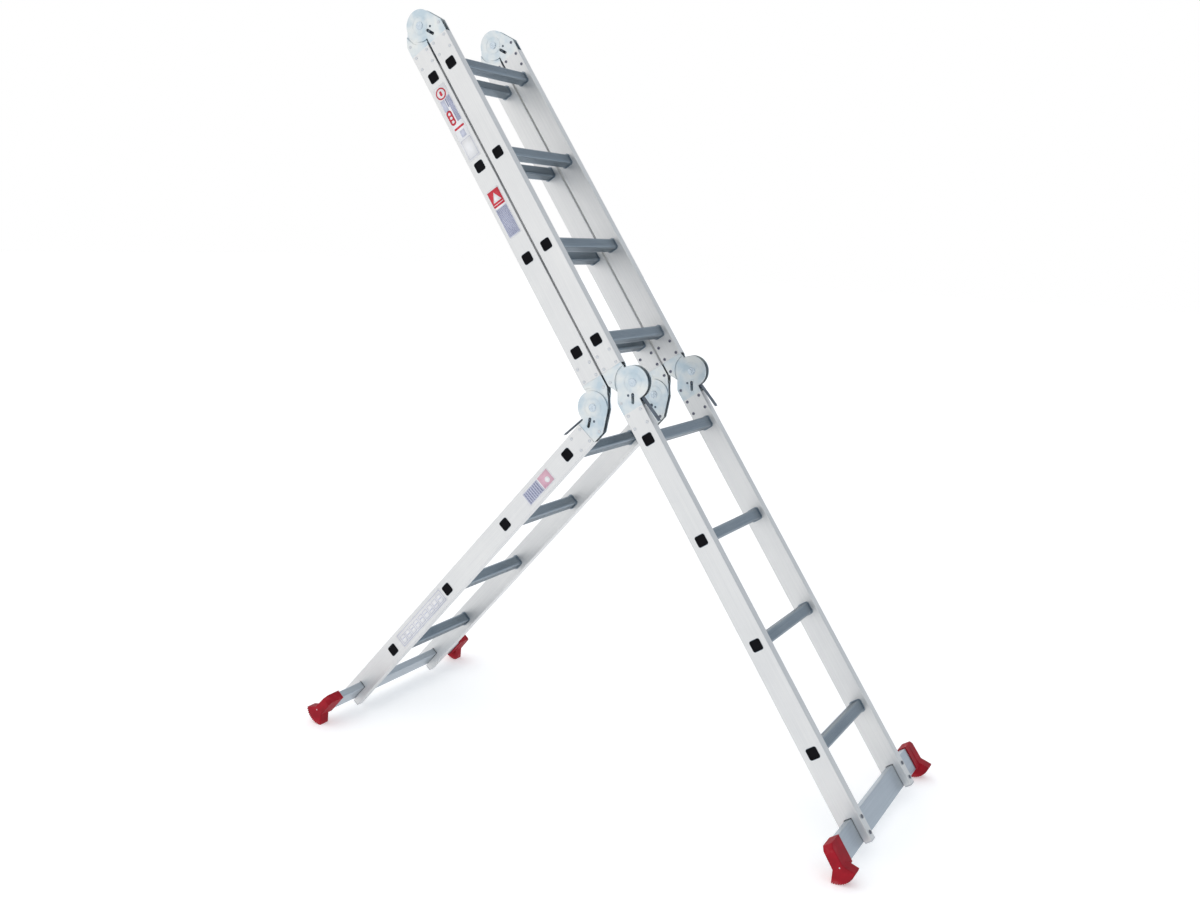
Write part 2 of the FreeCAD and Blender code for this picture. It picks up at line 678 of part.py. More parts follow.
def build_hinge(hinge):
    fork_section, fork_pivot, inner_section, inner_pivot = HINGES[hinge]
    fork_place = arm_place(fork_pivot, False)
    inner_place = arm_place(inner_pivot, inner_pivot[1] == 0.0)
    lock_radius, out = LEVERS[hinge]
    pins = []
    levers = []
    for side, sign in SIDES.items():
        y = sign * RAIL_Y
        fork = moved(group(fork_arm()), fork_place)
        keep(f"{hinge}_fork_{side}", fork_section, [shifted(fork, 0, y, 0)])
        inner = moved(group(inner_arm()), inner_place)
        keep(f"{hinge}_inner_arm_{side}", inner_section, [shifted(inner, 0, y, 0)])
        pins.append(shifted(moved(pivot_pin(), fork_place), 0, y, 0))
        levers.append(shifted(moved(release_lever(lock_radius, out), fork_place), 0, y, 0))
    keep(f"{hinge}_pivot_pins", fork_section, pins)
    keep(f"{hinge}_release_levers", fork_section, levers)


def build_rivets(section):
    """Every rivet of one section: through its rails' tongues, and one through each of its hinge arms."""
    lower = section.endswith("lower")
    spots = []
    for z in rivet_levels(lower):
        for x in (-RIVET_SPREAD, RIVET_SPREAD):
            spots.append((x, z, OUTER_FACE))
    for fork_section, fork_pivot, inner_section, inner_pivot in HINGES.values():
        arms = [(fork_section, fork_pivot, False), (inner_section, inner_pivot, inner_pivot[1] == 0.0)]
        for arm_section, pivot, body_up in arms:
            if arm_section == section:
                spot = arm_place(pivot, body_up).multVec(Vec(ARM_RIVET[0], 0, ARM_RIVET[1]))
                spots.append((spot.x, spot.z, FORK_OUT))
    rivets = []
    for x, z, reach in spots:
        one = rivet(x, z, reach)
        rivets += [shifted(one, 0, sign * RAIL_Y, 0) for sign in SIDES.values()]
    keep(f"{section}_rivets", section, rivets)


def centre_offset():
    """How far the ladder must move along X to stand about the origin."""
    whole = Part.makeCompound(list(nodes.values()))
    box = whole.optimalBoundingBox(False)
    return -(box.XMin + box.XMax) / 2


for name in SECTIONS:
    build_section(name)
    build_rivets(name)
for name in HINGES:
    build_hinge(name)

OFFSET = centre_offset()


def main():
    os.makedirs("parts", exist_ok=True)
    for name, shape in nodes.items():
        shifted(shape, OFFSET, 0, 0).exportStep(f"parts/{name}.step")
    print(f"{len(nodes)} nodes, lean {LEAN:.2f} degrees, moved {OFFSET:.2f} mm along X")


main()
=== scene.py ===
# %% [markdown]
# A multi position ladder. Four sections of rungs are joined end to end by three pairs of folding
# hinges, so the same ladder can stand as a step, a platform or one long straight ladder. Its shapes and
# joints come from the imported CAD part. This script gives every surface its finish, rounds what is
# pressed, and adds the small things that the CAD leaves plain. The first step loads the part and keeps
# the size of its box.

import json
import math
import random

import bmesh
import bpy
from mathutils import Matrix, Vector

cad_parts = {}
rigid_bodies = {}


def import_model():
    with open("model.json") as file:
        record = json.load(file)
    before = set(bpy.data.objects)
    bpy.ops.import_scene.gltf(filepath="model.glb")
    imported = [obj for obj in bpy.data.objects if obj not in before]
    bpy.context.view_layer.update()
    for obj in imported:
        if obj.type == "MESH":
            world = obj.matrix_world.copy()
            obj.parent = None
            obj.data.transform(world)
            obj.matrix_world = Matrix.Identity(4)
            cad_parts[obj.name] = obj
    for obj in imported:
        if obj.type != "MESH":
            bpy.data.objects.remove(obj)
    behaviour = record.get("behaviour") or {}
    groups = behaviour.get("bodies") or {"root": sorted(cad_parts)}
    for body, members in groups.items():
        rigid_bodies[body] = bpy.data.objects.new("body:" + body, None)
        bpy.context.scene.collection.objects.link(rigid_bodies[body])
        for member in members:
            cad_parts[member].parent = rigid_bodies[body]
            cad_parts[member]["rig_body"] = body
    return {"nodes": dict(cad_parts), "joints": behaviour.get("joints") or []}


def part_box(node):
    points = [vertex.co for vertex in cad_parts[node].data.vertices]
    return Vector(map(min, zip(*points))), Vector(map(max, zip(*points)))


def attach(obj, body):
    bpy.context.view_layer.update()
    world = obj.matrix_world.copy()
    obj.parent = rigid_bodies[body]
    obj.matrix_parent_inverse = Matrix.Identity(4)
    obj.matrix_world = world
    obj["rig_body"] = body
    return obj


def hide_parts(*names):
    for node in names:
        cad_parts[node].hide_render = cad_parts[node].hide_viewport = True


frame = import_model()
nodes = frame["nodes"]
scene = bpy.context.scene
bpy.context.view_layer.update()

# %% [markdown]
# Every section leans at its own angle, and the streaks of its metal, its rivets and its labels all
# follow it. The angle could be typed in, but the rungs already know it: the line from a section's first
# rung to its last is the way that its rails run. From that line comes a matrix for each section, with X
# to its front, Y across the ladder and Z up the rails, and zero at the level of its hinge.

# %% Where the four sections lie
SECTIONS = ("front_lower", "front_upper", "rear_upper", "rear_lower")
HINGES = ("front_hinge", "top_hinge", "rear_hinge")
SIDES = ("left", "right")
PIVOT_TO_RUNG = 0.142
ACROSS = Vector((0, 1, 0))


def middle(node):
    low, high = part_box(node)
    return (low + high) / 2


def section_place(section):
    first = middle(f"{section}_rung_1")
    last = middle(f"{section}_rung_4")
    way = 1 if section.endswith("upper") else -1
    up = (last - first).normalized() * way
    place = Matrix((ACROSS.cross(up), ACROSS, up)).transposed().to_4x4()
    place.translation = first - up * PIVOT_TO_RUNG * way
    return place


places = {section: section_place(section) for section in SECTIONS}
for section, place in places.items():
    print(section, "leans", round(math.degrees(place.to_euler().y), 2), "degrees")

# %% [markdown]
# The ladder is looked at from its left and a little above its middle, through a lens that is close to
# what the eye sees. A small shift frames it without tipping the camera.

# %% Camera
camera_data = bpy.data.cameras.new("Camera")
camera_data.lens = 36.38
camera_data.shift_y = -0.0583
camera = bpy.data.objects.new("Camera", camera_data)
camera.location = (1.4792, -2.8395, 1.4232)
camera.rotation_euler = [math.radians(angle) for angle in (82.87, -2.583, 29.184)]
scene.collection.objects.link(camera)
scene.camera = camera
print("camera", round(camera.location.length, 2), "m from the middle of the floor")

# %% [markdown]
# Bare metal shows what is around it, so most of its look is the room. A bright studio could be built
# from many panels, but one world colour that darkens smoothly towards the front and above does the same
# with less noise: the rails stay pale and the front faces of the rungs pick up a cool grey, on top of the
# painted dark reflection in the rungs' own colour. A large soft light on the left makes the outer faces
# of the rails the brightest, and the floor is plain and pale. Where nothing stands in front of it, the
# world is plain white, so that the floor has no horizon.

# %% Floor, world and lights
DARK_WAY = Vector((0.86, 0.25, 0.45)).normalized()
ROOM_TONES = [(0.0, (1, 1, 1)), (0.35, (0.93, 0.95, 0.97)), (0.85, (0.55, 0.60, 0.66))]
WHITE = (1, 1, 1, 1)
WINDOW_WAY = Vector((-0.5, -0.8, 0.35))
WINDOW_WIDTH = 70
WINDOW_STRENGTH = 0.2
FLOOR_REACH = 30.0
FLOOR_TONE = (0.93, 0.93, 0.93, 1)
FLOOR_GLOW = 0.3


def link_or_set(tree, socket, value):
    if isinstance(value, bpy.types.NodeSocket):
        tree.links.new(value, socket)
    else:
        socket.default_value = value


def add_node(tree, kind, inputs, output=0, **settings):
    """Adds a node, sets it up and gives back one of its outputs."""
    made = tree.nodes.new(kind)
    for name, value in settings.items():
        setattr(made, name, value)
    for name, value in inputs.items():
        link_or_set(tree, made.inputs[name], value)
    return made.outputs[output]


def tones(tree, amount, stops):
    """A colour ramp: stops are (position, (red, green, blue))."""
    ramp = tree.nodes.new("ShaderNodeValToRGB")
    tree.links.new(amount, ramp.inputs["Fac"])
    while len(ramp.color_ramp.elements) < len(stops):
        ramp.color_ramp.elements.new(0.5)
    for element, (position, colour) in zip(ramp.color_ramp.elements, stops):
        element.position = position
        element.color = (*colour, 1)
    return ramp.outputs["Color"]


world = bpy.data.worlds.new("Soft studio")
world.use_nodes = True
scene.world = world
sky = world.node_tree
way_out = add_node(sky, "ShaderNodeTexCoord", {}, output="Generated")
towards_dark = add_node(
    sky, "ShaderNodeVectorMath", {0: way_out, 1: DARK_WAY}, output="Value", operation="DOT_PRODUCT"
)
room = tones(sky, towards_dark, ROOM_TONES)
seen_bare = add_node(sky, "ShaderNodeLightPath", {}, output="Is Camera Ray")
studio = add_node(sky, "ShaderNodeMixRGB", {"Fac": seen_bare, "Color1": room, "Color2": WHITE})
sky.links.new(studio, sky.nodes["Background"].inputs["Color"])
sky.nodes["Background"].inputs["Strength"].default_value = 1.0


def soft_light(name, whence, width, strength):
    """A light as wide as a window seen from near by, so that it is even over the whole ladder."""
    data = bpy.data.lights.new(name, "SUN")
    data.angle = math.radians(width)
    data.energy = strength
    light = bpy.data.objects.new(name, data)
    light.rotation_euler = (-whence).to_track_quat("-Z", "Y").to_euler()
    scene.collection.objects.link(light)


soft_light("Left light", WINDOW_WAY, WINDOW_WIDTH, WINDOW_STRENGTH)

floor_mesh = bpy.data.meshes.new("floor")
floor_corners = [(FLOOR_REACH * x, FLOOR_REACH * y, 0) for x, y in ((-1, -1), (1, -1), (1, 1), (-1, 1))]
floor_mesh.from_pydata(floor_corners, [], [(0, 1, 2, 3)])
floor = bpy.data.objects.new("floor", floor_mesh)
scene.collection.objects.link(floor)
floor_paper = bpy.data.materials.new("Floor paper")
floor_paper.use_nodes = True
floor_shader = floor_paper.node_tree.nodes["Principled BSDF"]
floor_shader.inputs["Base Color"].default_value = FLOOR_TONE
floor_shader.inputs["Roughness"].default_value = 0.9
floor_shader.inputs["Specular IOR Level"].default_value = 0.1
floor_shader.inputs["Emission Color"].default_value = WHITE
floor_shader.inputs["Emission Strength"].default_value = FLOOR_GLOW
floor_mesh.materials.append(floor_paper)
scene.view_settings.view_transform = "Standard"
print("floor", 2 * FLOOR_REACH, "m wide")

# %% [markdown]
# Aluminium tube is pressed through a die, and the die leaves fine streaks along the whole length. They
# could be painted by an image, but a noise that is stretched along the tube has no seams and any
# length. A Mapping node turns it to lie along the section. A second, coarse noise makes the satin a
# little uneven, as handled metal is.

# %% Drawn aluminium
STREAK_STRETCH = 90.0
STREAK_BUMP = 0.0004
NOISE_LOW = 0.3
NOISE_HIGH = 0.7


def new_finish(name, metallic, **sockets):
    """A material: its node tree, its shader and the coordinates of the piece."""
    material = bpy.data.materials.new(name)
    material.use_nodes = True
    tree = material.node_tree
    shader = tree.nodes["Principled BSDF"]
    shader.inputs["Metallic"].default_value = metallic
    for socket, value in sockets.items():
        shader.inputs[socket.replace("_", " ")].default_value = value
    place = add_node(tree, "ShaderNodeTexCoord", {}, output="Object")
    return material, tree, shader, place


def noise(tree, place, scale, detail=3.0, roughness=0.5):
    sockets = {"Vector": place, "Scale": scale, "Detail": detail, "Roughness": roughness}
    return add_node(tree, "ShaderNodeTexNoise", sockets)


def weigh(tree, first, share, second):
    """first * share + second * (1 - share)"""
    part = add_node(tree, "ShaderNodeMath", {0: second, 1: 1 - share}, operation="MULTIPLY")
    return add_node(tree, "ShaderNodeMath", {0: first, 1: share, 2: part}, operation="MULTIPLY_ADD")


def spread(tree, amount, low, high):
    """Noise stays near its middle, so its middle is stretched to run from low to high."""
    sockets = {"Value": amount, "From Min": NOISE_LOW, "From Max": NOISE_HIGH}
    sockets.update({"To Min": low, "To Max": high})
    return add_node(tree, "ShaderNodeMapRange", sockets)


def lay_along(tree, place, lie, stretch=1.0):
    sockets = {"Vector": place, "Location": lie.translation, "Rotation": lie.to_euler()}
    sockets["Scale"] = (1, 1, stretch)
    return add_node(tree, "ShaderNodeMapping", sockets, vector_type="TEXTURE")


def set_bump(tree, shader, height, strength, distance):
    sockets = {"Height": height, "Strength": strength, "Distance": distance}
    tree.links.new(add_node(tree, "ShaderNodeBump", sockets, output="Normal"), shader.inputs["Normal"])


def drawn_metal(name, lie, stops, gloss, streak_scale, depth):
    material, tree, shader, place = new_finish(name, 1.0)
    streaks = noise(tree, lay_along(tree, place, lie, STREAK_STRETCH), streak_scale, 4.0, 0.6)
    clouds = noise(tree, place, 5.0, 5.0, 0.55)
    tree.links.new(tones(tree, weigh(tree, streaks, 0.5, clouds), stops), shader.inputs["Base Color"])
    tree.links.new(spread(tree, weigh(tree, clouds, 0.6, streaks), *gloss), shader.inputs["Roughness"])
    set_bump(tree, shader, streaks, depth, STREAK_BUMP)
    return material


RAIL_TONES = [(0.36, (0.64, 0.645, 0.65)), (0.64, (0.73, 0.73, 0.725))]
# Painted reflection: the rungs are the same pale aluminium as the rails, and these tones are darkened to
# paint in the dark reflection and groove shade that the rungs show.
RUNG_TONES_PAINTED_DARK_REFLECTION = [(0.36, (0.18, 0.225, 0.27)), (0.64, (0.28, 0.33, 0.375))]
BAR_TONES = [(0.36, (0.40, 0.45, 0.50)), (0.64, (0.50, 0.55, 0.60))]
across_lie = Matrix.Rotation(math.radians(-90), 4, "X")
rail_metal = {
    section: drawn_metal(f"satin rail aluminium {section}", place, RAIL_TONES, (0.40, 0.52), 420.0, 0.12)
    for section, place in places.items()
}
# The rung finish is drawn metal in the darkened tones above, so its colour carries painted dark reflection.
rung_metal_painted_reflection = drawn_metal("grooved rung aluminium with painted dark reflection", across_lie, RUNG_TONES_PAINTED_DARK_REFLECTION, (0.28, 0.42), 700.0, 0.2)
bar_metal = drawn_metal("bar aluminium", across_lie, BAR_TONES, (0.32, 0.46), 420.0, 0.12)
print(len(rail_metal), "rail finishes, one for each lie of the metal")

# %% [markdown]
# The hinges are pressed from steel and plated with zinc, which dries in soft patches of blue and green
# and has no grain. Pins and rivets of the same steel are turned or headed, so they show rings about
# their own middles. A Wave texture makes rings, and a Mapping node puts their middle on the hinge's
# pivot. The levers are coated dark.

# %% Plated, turned and coated steel
ZINC_TONES = [(0.35, (0.47, 0.56, 0.62)), (0.5, (0.60, 0.65, 0.675)), (0.65, (0.69, 0.71, 0.70))]
FRAME_ZERO = (0, 0, 0)


def zinc_plate(name):
    material, tree, shader, place = new_finish(name, 1.0)
    patches = noise(tree, place, 22.0, 3.0)
    grain = noise(tree, place, 240.0, 4.0, 0.6)
    tree.links.new(tones(tree, patches, ZINC_TONES), shader.inputs["Base Color"])
    tree.links.new(spread(tree, weigh(tree, grain, 0.5, patches), 0.28, 0.46), shader.inputs["Roughness"])
    set_bump(tree, shader, grain, 0.12, 0.0005)
    return material


def turned_steel(name, centre, light, dark):
    material, tree, shader, place = new_finish(name, 1.0)
    put = {"Vector": place, "Location": centre}
    about = add_node(tree, "ShaderNodeMapping", put, vector_type="TEXTURE")
    ring_sockets = {"Vector": about, "Scale": 180.0, "Distortion": 1.5, "Detail": 2.0}
    rings = add_node(
        tree, "ShaderNodeTexWave", ring_sockets, output="Fac", wave_type="RINGS", rings_direction="Y"
    )
    specks = noise(tree, place, 300.0, 3.0)
    colour = tones(tree, weigh(tree, rings, 0.4, specks), [(0.2, dark), (0.8, light)])
    tree.links.new(colour, shader.inputs["Base Color"])
    tree.links.new(spread(tree, specks, 0.22, 0.4), shader.inputs["Roughness"])
    set_bump(tree, shader, rings, 0.1, 0.0002)
    return material


def coated_steel(name, coat, worn):
    material, tree, shader, place = new_finish(name, 0.0, Specular_IOR_Level=0.35)
    wear = noise(tree, place, 60.0, 6.0, 0.65)
    grain = noise(tree, place, 900.0, 2.0)
    tree.links.new(tones(tree, wear, [(0.42, coat), (0.58, worn)]), shader.inputs["Base Color"])
    tree.links.new(spread(tree, wear, 0.32, 0.5), shader.inputs["Roughness"])
    set_bump(tree, shader, grain, 0.15, 0.0002)
    return material


hinge_zinc = zinc_plate("bright zinc plate")
lever_coat = coated_steel("dark lever coat", (0.055, 0.075, 0.10), (0.11, 0.14, 0.18))
screw_steel = turned_steel("dark screw steel", FRAME_ZERO, (0.22, 0.23, 0.26), (0.10, 0.11, 0.13))
rivet_steel = turned_steel("satin rivet steel", FRAME_ZERO, (0.62, 0.64, 0.66), (0.48, 0.50, 0.53))
# The rivet tails are the same steel as the heads in darker tones: painted shade.
rivet_tail_steel_painted_shade = turned_steel("rolled rivet tail steel with painted shade", FRAME_ZERO, (0.26, 0.27, 0.32), (0.12, 0.12, 0.16))
pivot_of = {}
for joint in frame["joints"]:
    if joint["name"].startswith("fold"):
        pivot_of[joint["name"].split("_")[-1] + "_hinge"] = Vector(joint["pos_m"])
pin_steel = {
    hinge: turned_steel(f"turned pin steel {hinge}", centre, (0.66, 0.73, 0.78), (0.42, 0.49, 0.56))
    for hinge, centre in pivot_of.items()
}
print("pivots at", {hinge: [round(v, 3) for v in centre] for hinge, centre in pivot_of.items()})

# %% [markdown]
# Plastic and rubber are moulded, and the mould leaves a fine grain. Plugs are black and slightly shiny,
# the rail ends' caps are pale grey, and the feet are red rubber that is dull and picks up dust where it
# meets the floor. The dust follows the height above the floor, broken up by a noise.

# %% Moulded plastic and rubber
MOULD_GRAIN = 1400.0
BLACK_TONES = [(0.3, (0.002, 0.002, 0.003)), (0.7, (0.005, 0.005, 0.007))]
GREY_TONES = [(0.3, (0.46, 0.47, 0.49)), (0.7, (0.58, 0.59, 0.61))]
RED_TONES = [(0.3, (0.24, 0.004, 0.012)), (0.62, (0.34, 0.007, 0.018)), (0.95, (0.38, 0.06, 0.07))]
DUST = 0.3
DUST_LEVEL = 0.014


def moulded(name, stops, gloss, grain_scale, grain_depth, shine=0.5):
    material, tree, shader, place = new_finish(name, 0.0, Specular_IOR_Level=shine)
    clouds = noise(tree, place, 40.0, 4.0)
    grain = noise(tree, place, grain_scale, 2.0)
    tree.links.new(tones(tree, clouds, stops), shader.inputs["Base Color"])
    tree.links.new(spread(tree, weigh(tree, grain, 0.5, clouds), *gloss), shader.inputs["Roughness"])
    set_bump(tree, shader, grain, grain_depth, 0.0003)
    return material


def foot_rubber(name):
    material, tree, shader, place = new_finish(name, 0.0, Specular_IOR_Level=0.16)
    clouds = noise(tree, place, 35.0, 4.0)
    grain = noise(tree, place, 1500.0, 2.0)
    height = add_node(tree, "ShaderNodeSeparateXYZ", {"Vector": place}, output="Z")
    low_down = {"Value": height, "From Min": 0.0, "From Max": DUST_LEVEL, "To Min": DUST, "To Max": 0.0}
    dust = add_node(tree, "ShaderNodeMapRange", low_down)
    dusty = add_node(tree, "ShaderNodeMath", {0: clouds, 1: dust}, operation="ADD")
    tree.links.new(tones(tree, dusty, RED_TONES), shader.inputs["Base Color"])
    tree.links.new(spread(tree, weigh(tree, grain, 0.4, clouds), 0.48, 0.68), shader.inputs["Roughness"])
    set_bump(tree, shader, grain, 0.25, 0.0003)
    return material


plug_plastic = moulded("black plug plastic", BLACK_TONES, (0.4, 0.55), MOULD_GRAIN, 0.2, 0.06)
cap_plastic = moulded("grey cap plastic", GREY_TONES, (0.45, 0.6), MOULD_GRAIN, 0.2)
red_rubber = foot_rubber("red foot rubber")
print("finished", [finish.name for finish in (plug_plastic, cap_plastic, red_rubber)])

# %% [markdown]
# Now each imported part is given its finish. The part says which slot it takes its finish from, and the
# rails also need the finish that lies along their own section, so they are dressed by name.

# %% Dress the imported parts
SLOT_FINISH = {
    "rung_aluminium": rung_metal_painted_reflection,
    "bar_aluminium": bar_metal,
    "hinge_steel": hinge_zinc,
    "lever_steel": lever_coat,
    "rivet_steel": rivet_steel,
    "screw_steel": screw_steel,
    "plug_plastic": plug_plastic,
    "cap_plastic": cap_plastic,
    "foot_rubber": red_rubber,
}


def finish_for(node, slot):
    if slot == "rail_aluminium":
        return rail_metal["_".join(node.split("_")[:2])]
    if slot == "pin_steel":
        return pin_steel["_".join(node.split("_")[:2])]
    return SLOT_FINISH[slot]


slot_of = {name: node.data.materials[0].name for name, node in nodes.items()}
for name, node in nodes.items():
    node.data.materials.clear()
    node.data.materials.append(finish_for(name, slot_of[name]))
print(len(nodes), "parts dressed from", len(set(slot_of.values())), "slots")

# %% [markdown]
# A pressed plate has no razor edges, because the press rolls them over. The CAD leaves them sharp. A
# Bevel modifier rounds them, on a copy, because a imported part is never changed. The copy is merged
# first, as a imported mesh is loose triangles, and the flat faces are made whole again, so that the bevel
# meets real edges only.

# %% Rounded copies of pressed parts
MERGE = 1e-5
FLAT_WITHIN = math.radians(0.5)
PLATE_EDGE = 0.0004
LEVER_EDGE = 0.0005


def whole_mesh(node):
    """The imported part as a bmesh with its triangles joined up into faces."""
    shape = bmesh.new()
    shape.from_mesh(nodes[node].data)
    bmesh.ops.remove_doubles(shape, verts=shape.verts, dist=MERGE)
    bmesh.ops.dissolve_limit(shape, angle_limit=FLAT_WITHIN, verts=shape.verts, edges=shape.edges)
    return shape


def make_piece(name, shape, *materials):
    data = bpy.data.meshes.new(name)
    shape.to_mesh(data)
    shape.free()
    for attribute in ("custom_normal", "sharp_edge", "sharp_face"):
        if attribute in data.attributes:
            data.attributes.remove(data.attributes[attribute])
    for material in materials:
        data.materials.append(material)
    piece = bpy.data.objects.new(name, data)
    scene.collection.objects.link(piece)
    return piece


def apply_modifiers(piece):
    """Turns what the modifiers show into the piece's own mesh."""
    graph = bpy.context.evaluated_depsgraph_get()
    data = bpy.data.meshes.new_from_object(piece.evaluated_get(graph), depsgraph=graph)
    piece.modifiers.clear()
    piece.data = data


def round_edges(piece, radius):
    bevel = piece.modifiers.new("Rounded edges", "BEVEL")
    bevel.width = radius
    bevel.segments = 2
    bevel.limit_method = "ANGLE"
    bevel.angle_limit = math.radians(40)
    bevel.use_clamp_overlap = False
    bevel.harden_normals = True
    bevel.miter_outer = "MITER_ARC"
    piece.data.shade_smooth()
    apply_modifiers(piece)


def stand_for(piece, node):
    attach(piece, nodes[node]["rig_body"])
    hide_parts(node)


PRESSED = {"fork": "fork_plates", "inner_arm": "inner_plates"}
for hinge in HINGES:
    for side in SIDES:
        for part, called in PRESSED.items():
            node = f"{hinge}_{part}_{side}"
            plates = make_piece(f"{hinge}_{called}_{side}", whole_mesh(node), hinge_zinc)
            round_edges(plates, PLATE_EDGE)
            stand_for(plates, node)
    node = f"{hinge}_release_levers"
    levers = make_piece(f"{hinge}_thumb_levers", whole_mesh(node), lever_coat)
    round_edges(levers, LEVER_EDGE)
    stand_for(levers, node)
print(len(HINGES) * (len(SIDES) * len(PRESSED) + 1), "pressed parts rounded")

# %% [markdown]
# Rivets, screws and pivot pins repeat all over the ladder. Each kind is made once, by turning an
# outline about an axis as a lathe does, and then Geometry Nodes set one down at every seat. The tree
# takes points that carry the way they face, stands a head on each, gives it a chance turn, and ends in
# plain mesh with its finish.

# %% One tree that sets heads on their seats
def heads_tree():
    tree = bpy.data.node_groups.new("Heads on their seats", "GeometryNodeTree")
    sockets = [
        ("Seats", "NodeSocketGeometry"),
        ("Head", "NodeSocketObject"),
        ("Greatest turn", "NodeSocketFloat"),
        ("Seed", "NodeSocketInt"),
        ("Finish", "NodeSocketMaterial"),
    ]
    for name, kind in sockets:
        tree.interface.new_socket(name, in_out="INPUT", socket_type=kind)
    tree.interface.new_socket("Heads", in_out="OUTPUT", socket_type="NodeSocketGeometry")
    given = tree.nodes.new("NodeGroupInput").outputs
    facing = add_node(tree, "GeometryNodeInputNamedAttribute", {"Name": "facing"}, data_type="FLOAT_VECTOR")
    stood = add_node(tree, "FunctionNodeAlignRotationToVector", {"Vector": facing}, axis="Z")
    chance = tree.nodes.new("FunctionNodeRandomValue")
    chance.data_type = "FLOAT"
    tree.links.new(given["Greatest turn"], chance.inputs[3])
    tree.links.new(given["Seed"], chance.inputs["Seed"])
    about = {"Axis": (0, 0, 1), "Angle": chance.outputs[1]}
    turn = add_node(tree, "FunctionNodeAxisAngleToRotation", about)
    lie = add_node(
        tree, "FunctionNodeRotateRotation", {"Rotation": stood, "Rotate By": turn}, rotation_space="LOCAL"
    )
    head = add_node(tree, "GeometryNodeObjectInfo", {"Object": given["Head"]}, output="Geometry")
    put = {"Points": given["Seats"], "Instance": head, "Rotation": lie}
    placed = add_node(tree, "GeometryNodeInstanceOnPoints", put)
    plain = add_node(tree, "GeometryNodeRealizeInstances", {"Geometry": placed})
    done = add_node(tree, "GeometryNodeSetMaterial", {"Geometry": plain, "Material": given["Finish"]})
    tree.links.new(done, tree.nodes.new("NodeGroupOutput").inputs["Heads"])
    return tree


HEADS = heads_tree()
SHARP_FROM = math.radians(38)


def turned(name, outline, steps=28):
    """A closed solid of revolution about Z. The outline is (radius, height) pairs from axis to axis."""
    shape = bmesh.new()
    points = [shape.verts.new((radius, 0, height)) for radius, height in outline]
    edges = [shape.edges.new(pair) for pair in zip(points, points[1:])]
    line = points + edges
    bmesh.ops.spin(shape, geom=line, cent=(0, 0, 0), axis=(0, 0, 1), angle=2 * math.pi, steps=steps)
    bmesh.ops.remove_doubles(shape, verts=shape.verts, dist=MERGE)
    bmesh.ops.recalc_face_normals(shape, faces=shape.faces)
    head = make_piece(name, shape)
    head.data.shade_smooth()
    head.data.set_sharp_from_angle(angle=SHARP_FROM)
    return head


def set_heads(name, seats, head, finish, turn=0.0, seed=1):
    """One plain mesh with a head on every seat. A seat is a place and the way that it faces."""
    data = bpy.data.meshes.new(name)
    data.from_pydata([place for place, facing in seats], [], [])
    facing = data.attributes.new("facing", "FLOAT_VECTOR", "POINT")
    facing.data.foreach_set("vector", [value for place, way in seats for value in way])
    piece = bpy.data.objects.new(name, data)
    scene.collection.objects.link(piece)
    modifier = piece.modifiers.new("Heads", "NODES")
    modifier.node_group = HEADS
    values = {"Head": head, "Greatest turn": turn, "Seed": seed, "Finish": finish}
    for item in HEADS.interface.items_tree:
        if item.in_out == "INPUT" and item.name in values:
            modifier[item.identifier] = values[item.name]
    apply_modifiers(piece)
    piece.data.materials.clear()
    piece.data.materials.append(finish)
    return piece


print("tree with", len(HEADS.nodes), "nodes")

# %% [markdown]
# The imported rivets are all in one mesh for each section. Merged, it falls apart into islands, one for
# each rivet, and the far ends of an island along a chosen direction are the middles of its two heads.
# That gives the seats without typing in a single position.

# %% Find the seats of rivets, screws and pins
def islands(node):
    """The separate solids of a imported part, each as a list of its points."""
    shape = bmesh.new()
    shape.from_mesh(nodes[node].data)
    bmesh.ops.remove_doubles(shape, verts=shape.verts, dist=MERGE)
    left = set(shape.verts)
    found = []
    while left:
        waiting = [left.pop()]
        island = []
        while waiting:
            vert = waiting.pop()
            island.append(vert.co.copy())
            for edge in vert.link_edges:
                other = edge.other_vert(vert)
                if other in left:
                    left.remove(other)
                    waiting.append(other)
        found.append(island)
    shape.free()
    found.sort(key=lambda island: tuple(round(v, 4) for v in sum(island, Vector()) / len(island)))
    return found


def tip(island, way):
    """The middle of the island's far end in a direction."""
    farthest = max(point.dot(way) for point in island)
    end = [point for point in island if point.dot(way) > farthest - 2 * MERGE]
    return sum(end, Vector()) / len(end)


def seats_of(node, way, depth):
    """Seats at the far ends in a direction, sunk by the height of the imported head."""
    return [(tip(island, way) - way * depth, way) for island in islands(node)]


print("rivets in the front upper section:", len(islands("front_upper_rivets")))

# %% [markdown]
# A rivet has a low round head on the outside of a rail, and on the inside its tail is rolled over into
# a ring with a dark hole. Both are turned outlines with a short shank that goes into the rail's wall.
# The tails take a darker copy of the heads' steel, which is painted shade for the hollow of the rolled end.

